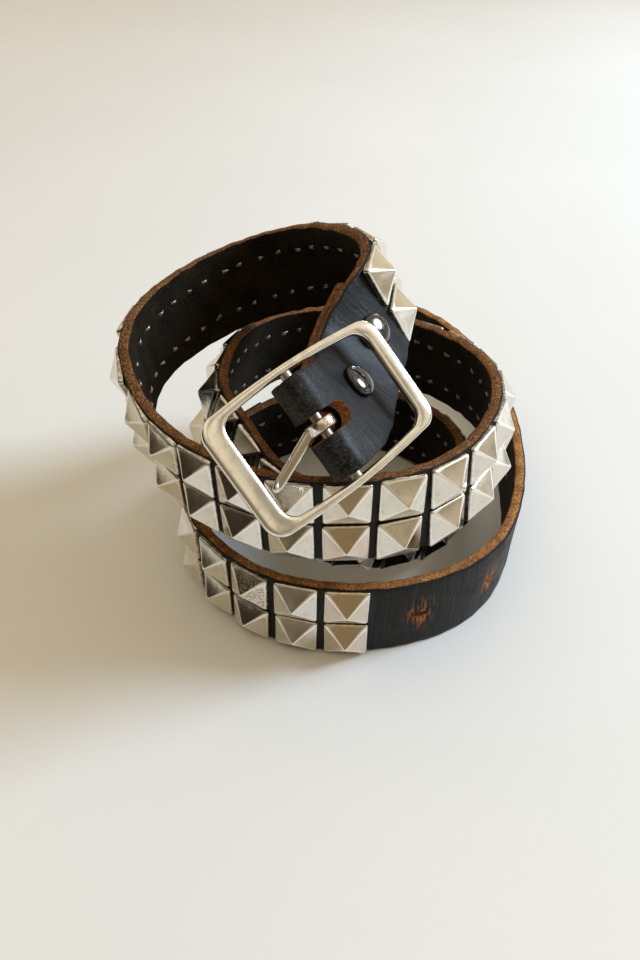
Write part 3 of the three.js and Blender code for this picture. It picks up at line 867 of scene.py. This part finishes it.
bar_frame = basis(bar_centre, start[1], start[2], start[3])
reach_past = FOLD_RADIUS + STRAP_THICK
slot = stadium(-reach_past, SLOT_REACH, SLOT_WIDTH / 2)
cutters = [prism(slot, -reach_past, reach_past, bar_frame, "slot_cutter")]
for i, s in enumerate(HOLES):
    turn = np.linspace(0, 2 * math.pi, 20, endpoint=False)
    ragged = 1 + 0.13 * np.sin(3 * turn + 1.7 * i) + 0.08 * np.sin(7 * turn + i)
    oval = np.stack([PRONG_HOLE_LENGTH * np.cos(turn), PRONG_HOLE_HEIGHT * np.sin(turn)], 1)
    oval = (oval / 2 * ragged[:, None]).tolist()
    cutters.append(prism(oval, -1.5 * STRAP_THICK, 1.5 * STRAP_THICK, on_strap(s), f"hole_cutter_{i}"))
for cutter in cutters:
    modifier = leather.modifiers.new("cut", "BOOLEAN")
    modifier.operation = "DIFFERENCE"
    modifier.solver = "EXACT"
    modifier.material_mode = "TRANSFER"
    modifier.object = cutter
graph = bpy.context.evaluated_depsgraph_get()
shaped = bpy.data.meshes.new_from_object(
    leather.evaluated_get(graph), preserve_all_data_layers=True, depsgraph=graph)
leather.modifiers.clear()
leather.data = shaped
shaped.set_sharp_from_angle(angle=math.radians(48))
for cutter in cutters:
    bpy.data.objects.remove(cutter)
print("cut leather", len(shaped.polygons), "faces", [m.name for m in shaped.materials])

# %% [markdown]
# ## Studs
# One stud is a stack of rounded square rings up to the point, so its ridges and foot catch a thin line of
# light. Every stud is turned, tilted and sized a little differently, as hand-set studs are. Four masks ride
# on its points: each, a number of its own; low, near the foot; a ridge mask that paints a highlight along the
# ridges and the foot's edge; and green, for corrosion.

# %% Pyramid studs
RING_SHARES = (0.13, 0.22, 0.38, 0.56, 0.72, 0.84, 0.91, 0.955, 0.985)
FACET_HOLLOW = 0.34
STUD_TURN_SPREAD = 1.1
ARC_POINTS = 4
SIDE_POINTS = (0.5, 0.0, -0.5)


def square_ring(half, corner, height, dip=0.0):
    """A rounded square, counter-clockwise, whose sides may be hollow by dip."""
    ring = []
    for k in range(4):
        turn = k * math.pi / 2
        side = [(half - corner + corner * math.cos(q), half - corner + corner * math.sin(q))
                for q in np.linspace(0, math.pi / 2, ARC_POINTS)]
        side += [(x * (half - corner), half - dip * (1 - x * x)) for x in SIDE_POINTS]
        ring += [(x * math.cos(turn) - y * math.sin(turn), x * math.sin(turn) + y * math.cos(turn), height)
                 for x, y in side]
    return ring


def stud_points():
    """Rings of one stud, from under the leather's face up to the blunt point."""
    half = STUD_SIDE / 2
    rise = STUD_HEIGHT - STUD_SKIRT
    rings = [square_ring(half - 0.05, 0.9, -0.9), square_ring(half, 0.9, 0.0)]
    rings.append(square_ring(half, 0.9, STUD_SKIRT * 0.5))
    rings.append(square_ring(half - 0.16, 0.85, STUD_SKIRT * 0.88))
    rings.append(square_ring(half - 0.50, 0.80, STUD_SKIRT + 0.15))
    for share in RING_SHARES:
        size = half * (1 - share)
        ridge = min(0.75 * (1 - share) + 0.18, 0.9 * size)
        hollow = FACET_HOLLOW * math.sin(math.pi * share) ** 0.7
        blunt = 0.28 * max(0, share - 0.88) / 0.12
        height = STUD_SKIRT + rise * share - 0.06 - blunt - 0.8 * hollow
        rings.append(square_ring(size, ridge, height, dip=hollow * (1 - share)))
    return np.array(rings)


def stud_columns():
    room = STRAP_LENGTH - STUDS_TO_TIP - BUCKLE_TO_STUDS
    count = int((room - STUD_SIDE) / STUD_PITCH) + 1
    return [BUCKLE_TO_STUDS + STUD_SIDE / 2 + i * STUD_PITCH for i in range(count)]


one = stud_points()
ring_count, ring_size = one.shape[:2]
one = np.vstack([one.reshape(-1, 3), [[0, 0, STUD_HEIGHT - 0.40]]])
one_faces = loft(ring_count, ring_size, caps=False)
top = (ring_count - 1) * ring_size
one_faces += [(top + k, top + (k + 1) % ring_size, len(one) - 1) for k in range(ring_size)]
foot = np.clip(1.0 - (one[:, 2] - 0.3) / 1.1, 0, 1)
on_ridge = np.tile(np.repeat([1.0, 0.0], [ARC_POINTS, len(SIDE_POINTS)]), 4)
# Mask for the painted highlight: 1 on the ridge arcs, and rising to 1 at the foot's rounded edge.
ridge_highlight = np.append(np.tile(on_ridge, ring_count), 1.0)
foot_ridge_highlight = [0.0, 0.0, 0.3, 0.9, 1.0]
ridge_highlight[:len(foot_ridge_highlight) * ring_size] = np.repeat(foot_ridge_highlight, ring_size)
draw = np.random.default_rng(11)
ROW_OFFSET = (STUD_SIDE + STUD_ROW_GAP) / 2
columns = stud_columns()
points, faces, each, low, green = [], [], [], [], []


def small_turn(axis):
    return Matrix.Rotation(math.radians(draw.normal(0, STUD_TURN_SPREAD)), 4, axis)


for s in columns:
    for row in (-1, 1):
        spin = small_turn("Z")
        tip_x = small_turn("X")
        tip_y = small_turn("Y")
        shift_along = draw.normal(0, 0.12) * MM
        shift_across = (row * ROW_OFFSET + draw.normal(0, 0.10)) * MM
        aside = Matrix.Translation((shift_along, shift_across, 0))
        matrix = on_strap(s, STRAP_THICK / 2) @ aside @ spin @ tip_x @ tip_y
        shape = one * [1, 1, draw.uniform(0.96, 1.02)]
        faces += [tuple(i + len(one) * len(each) for i in face) for face in one_faces]
        points.append(carry(shape, matrix))
        each.append(draw.random())
        low.append(foot)
        green.append(0.0)
print("studs", len(each), "in", len(columns), "columns")

# %% Find the corroded stud, and join the studs into one piece
CORRODED_FROM_END = 3
green[2 * (len(columns) - CORRODED_FROM_END) + 1] = 1.0
each[-1] = each[-2] = 1.0
studs = piece("pyramid_studs", np.concatenate(points), faces, [nickel], "strap", ["studded_strap"])
per_stud = len(one)
# The ridge mask stored here carries the painted highlight on the ridges and the foot's edge.
for label, values in (("each", np.repeat(each, per_stud)), ("low", np.concatenate(low)),
                      ("ridge_highlight", np.tile(ridge_highlight, len(each))), ("green", np.repeat(green, per_stud))):
    layer = studs.data.attributes.new(label, "FLOAT", "POINT")
    layer.data.foreach_set("value", values.astype(np.float32))
even = studs.modifiers.new("flat_facets", "WEIGHTED_NORMAL")
even.mode = "FACE_AREA"
even.weight = 70
print("stud faces", len(studs.data.polygons))

# %% [markdown]
# ## Bent prongs on the inner face
# Each stud is held by two prongs that come through the leather and are bent flat. They show as small bright
# dashes in two rows along the suede side.

# %% Prong tips
TAB_LENGTH = 3.1
TAB_WIDTH = 1.5
TAB_SPREAD = 0.21


def tab_points():
    """Rings of one bent prong tip, arched and narrower at its end."""
    rings = []
    for share in np.linspace(0, 1, 7):
        x = TAB_LENGTH * (share - 0.5)
        z = 0.62 * math.sin(math.pi * min(1, share * 1.15)) - 0.12
        half = TAB_WIDTH / 2 * (1 - 0.55 * share**2)
        lower, upper = z - 0.3, z + 0.12
        rings.append([(x, -half, lower), (x, half, lower), (x, half * 0.8, upper), (x, -half * 0.8, upper)])
    return np.array(rings)


tab = tab_points()
tab_faces = loft(tab.shape[0], tab.shape[1])
tab = tab.reshape(-1, 3)
points, faces, count = [], [], 0
for s in columns:
    for row in (-1, 1):
        for end in (-1, 1):
            matrix = on_strap(s + end * TAB_SPREAD * STUD_PITCH, -STRAP_THICK / 2)
            spin = math.radians(draw.normal(0, 9) + (180 if end > 0 else 0))
            turn = Matrix.Rotation(math.pi, 4, "X") @ Matrix.Rotation(spin, 4, "Z")
            shift_along = draw.normal(0, 0.25) * MM
            shift_across = (row * ROW_OFFSET + draw.normal(0, 0.25)) * MM
            aside = Matrix.Translation((shift_along, shift_across, 0))
            shape = tab * [draw.uniform(0.8, 1.1), 1, draw.uniform(0.8, 1.15)]
            points.append(carry(shape, matrix @ aside @ turn))
            faces += [tuple(i + len(tab) * count for i in face) for face in tab_faces]
            count += 1
piece("stud_prong_tips", np.concatenate(points), faces, [tabs], "strap", ["studded_strap"])
print("prong tips", count)

# %% [markdown]
# ## Buckle frame
# The frame is a rounded rectangle with slightly bowed long sides and a soft, pillowed section. A round bar
# crosses it, hidden inside the fold. It swings with the frame's hinge.

# %% Buckle frame
def outline(left, right, half, corner, bow, cells=10):
    """Points round the frame, the same number on each side and corner whatever the size."""
    share = np.linspace(0, 1, cells, endpoint=False)
    turn = np.radians(np.linspace(0, 90, cells, endpoint=False))
    low, high = left + corner, right - corner
    bulge = half + 4 * bow * share * (1 - share)
    lower = np.stack([low + (high - low) * share, -bulge], 1)
    corner_1 = np.stack([high + corner * np.sin(turn), -half + corner - corner * np.cos(turn)], 1)
    upright = np.stack([np.full(cells, right), -half + corner + 2 * (half - corner) * share], 1)
    corner_2 = np.stack([high + corner * np.cos(turn), half - corner + corner * np.sin(turn)], 1)
    upper = np.stack([high - (high - low) * share, bulge], 1)
    corner_3 = np.stack([low - corner * np.sin(turn), half - corner + corner * np.cos(turn)], 1)
    far_side = np.stack([np.full(cells, left), half - corner - 2 * (half - corner) * share], 1)
    corner_4 = np.stack([low - corner * np.cos(turn), -half + corner - corner * np.sin(turn)], 1)
    return np.concatenate([lower, corner_1, upright, corner_2, upper, corner_3, far_side, corner_4])


front = BAR_TO_BACK_BAR - FRAME_OPENING
inner = outline(front, BAR_TO_BACK_BAR, FRAME_INSIDE / 2, FRAME_CORNER, FRAME_BOW)
outer = outline(front - FRAME_FRONT_BAR, BAR_TO_BACK_BAR + FRAME_BACK_BAR, FRAME_INSIDE / 2 + FRAME_SIDE_BAR,
                FRAME_OUTER_CORNER, FRAME_BOW)
swing = np.linspace(0, 2 * math.pi, 24, endpoint=False)
wide = np.sign(np.cos(swing)) * np.abs(np.cos(swing)) ** 0.50
tall = np.sign(np.sin(swing)) * np.abs(np.sin(swing)) ** 0.62 * FRAME_THICK / 2
rings = (inner + outer)[:, None] / 2 + (outer - inner)[:, None] / 2 * wide[None, :, None]
rings = np.concatenate([rings, np.broadcast_to(tall[None, :, None], (*rings.shape[:2], 1))], 2)
tilted = bar_frame @ Matrix.Rotation(math.radians(FRAME_TILT), 4, "Y")
points = carry(rings.reshape(-1, 3), tilted)
faces = loft(len(inner), len(swing), closed=True)
bar_half = (FRAME_INSIDE + FRAME_SIDE_BAR) / 2
turn = np.linspace(0, 2 * math.pi, 24, endpoint=False)
bar = [[(BAR_RADIUS * math.cos(q), y, BAR_RADIUS * math.sin(q)) for q in turn] for y in (-bar_half, bar_half)]
bar_faces = [tuple(i + len(points) for i in face) for face in loft(2, 24)]
points = np.concatenate([points, carry(np.array(bar).reshape(-1, 3), tilted)])
buckle = piece("buckle_frame_polished", points, faces + bar_faces, [silver, tabs], "frame", ["buckle_frame"])
for face in list(buckle.data.polygons)[len(faces):]:
    face.material_index = 1
buckle.data.set_sharp_from_angle(angle=math.radians(50))
print("buckle faces", len(buckle.data.polygons))

# %% [markdown]
# ## Prong
# The prong is a loose loop of strip round the bar and a tapered shank with a rounded end. It hangs through
# the window of the frame.

# %% Buckle prong
def rounded(value, power):
    """A sine or cosine pushed outward, which turns a circle into a rounded box."""
    return np.sign(value) * abs(value) ** power


def prong_points():
    """Points and faces of the loop and the shank together, before the prong droops."""
    inside = BAR_RADIUS + PRONG_PLAY
    turn = np.linspace(0, 2 * math.pi, 28, endpoint=False)
    rings = []
    for q in turn:
        ring = []
        for a in np.linspace(0, 2 * math.pi, 12, endpoint=False):
            y = rounded(math.cos(a), 0.6) * PRONG_WIDTH / 2
            r = inside + PRONG_RING / 2 + rounded(math.sin(a), 0.6) * PRONG_RING / 2
            ring.append((r * math.cos(q), y, r * math.sin(q)))
        rings.append(ring)
    loop = np.array(rings).reshape(-1, 3)
    loop_faces = loft(28, 12, closed=True)
    shank = []
    for share in (0, 0.1, 0.25, 0.4, 0.55, 0.7, 0.82, 0.9, 0.955, 0.985, 1.0):
        size = 1 + (PRONG_TIP_SHARE - 1) * share
        size *= math.sqrt(max(0.04, 1 - max(0, (share - 0.88) / 0.12) ** 2))
        ring = []
        for a in np.linspace(0, 2 * math.pi, 16, endpoint=False):
            y = rounded(math.cos(a), 0.7) * PRONG_WIDTH / 2 * size
            z = rounded(math.sin(a), 0.7) * PRONG_THICK / 2 * size
            ring.append((-PRONG_SHANK * share, y, z))
        shank.append(ring)
    skew = math.radians(PRONG_SKEW)
    turned_aside = [[math.cos(skew), math.sin(skew), 0], [-math.sin(skew), math.cos(skew), 0], [0, 0, 1]]
    shank = np.array(shank).reshape(-1, 3) @ np.array(turned_aside)
    shank[:, 0] -= inside + PRONG_RING / 2
    shank_faces = [tuple(i + len(loop) for i in face) for face in loft(11, 16)]
    return np.concatenate([loop, shank]), loop_faces + shank_faces


points, faces = prong_points()
drooped = bar_frame @ Matrix.Rotation(math.radians(-PRONG_DROOP), 4, "Y")
prong = piece("buckle_prong_steel", carry(points, drooped), faces, [steel], "prong", ["buckle_prong"])
prong.data.set_sharp_from_angle(angle=math.radians(60))
print("prong faces", len(prong.data.polygons))

# %% [markdown]
# ## Snaps
# Two snaps hold the fold shut: a domed cap on the grain face, a post through both layers and a flat back.

# %% Snaps
def turned(profile, cells=40):
    """Points and faces of a profile of radius and height, turned round its axis."""
    turn = np.linspace(0, 2 * math.pi, cells, endpoint=False)
    rings = [[(r * math.cos(q), r * math.sin(q), z) for q in turn] for r, z in profile]
    return np.array(rings).reshape(-1, 3), loft(len(profile), cells)


DOME_FOOT = 0.5
under = -2 * STRAP_THICK - FOLD_GAP - SNAP_SEAT
dome = [(SNAP_CAP_RADIUS * math.sin(q), SNAP_SEAT + DOME_FOOT + (SNAP_CAP_HEIGHT - DOME_FOOT) * math.cos(q))
        for q in np.radians([90, 80, 68, 55, 42, 30, 18, 8, 1])]
snap_profile = [(0.05, under - SNAP_BACK_HEIGHT), (SNAP_BACK_RADIUS - 0.3, under - SNAP_BACK_HEIGHT),
                (SNAP_BACK_RADIUS, under - SNAP_BACK_HEIGHT + 0.3), (SNAP_BACK_RADIUS, under),
                (SNAP_POST_RADIUS, under), (SNAP_POST_RADIUS, SNAP_SEAT), (SNAP_CAP_RADIUS - 0.2, SNAP_SEAT),
                (SNAP_CAP_RADIUS, SNAP_SEAT + 0.2), *dome]
for name, s in zip(("near", "far"), SNAP_PLACES):
    points, faces = turned(snap_profile)
    snap = piece(f"snap_{name}_enamel", carry(points, on_strap(s, STRAP_THICK / 2)), faces, [enamel], "strap",
                 [f"snap_{name}"])
    snap.data.set_sharp_from_angle(angle=math.radians(40))
    print(snap.name, len(snap.data.polygons), "faces")

# %% [markdown]
# ## Floor and the solids' materials
# The floor is a plain pale sheet under the belt. It isn't part of the object. The solids' own parts get the
# materials of the finished pieces that stand for them. The box of the finished belt is written beside the box
# of the solids, which it has to stay inside.

# %% Floor and the solids' materials
FLOOR_HALF = 4.0
floor_z = cad_box[0][2] - 0.0002
floor_corners = [(x * FLOOR_HALF, y * FLOOR_HALF, floor_z) for x, y in ((-1, -1), (1, -1), (1, 1), (-1, 1))]
floor = piece("floor", floor_corners, [(0, 1, 2, 3)], [paper], None)
cad_materials = {"studded_strap": grain, "buckle_frame": silver, "buckle_prong": steel,
                 "snap_near": enamel, "snap_far": enamel}
for name, node in frame["nodes"].items():
    node.data.materials.clear()
    node.data.materials.append(cad_materials[name])
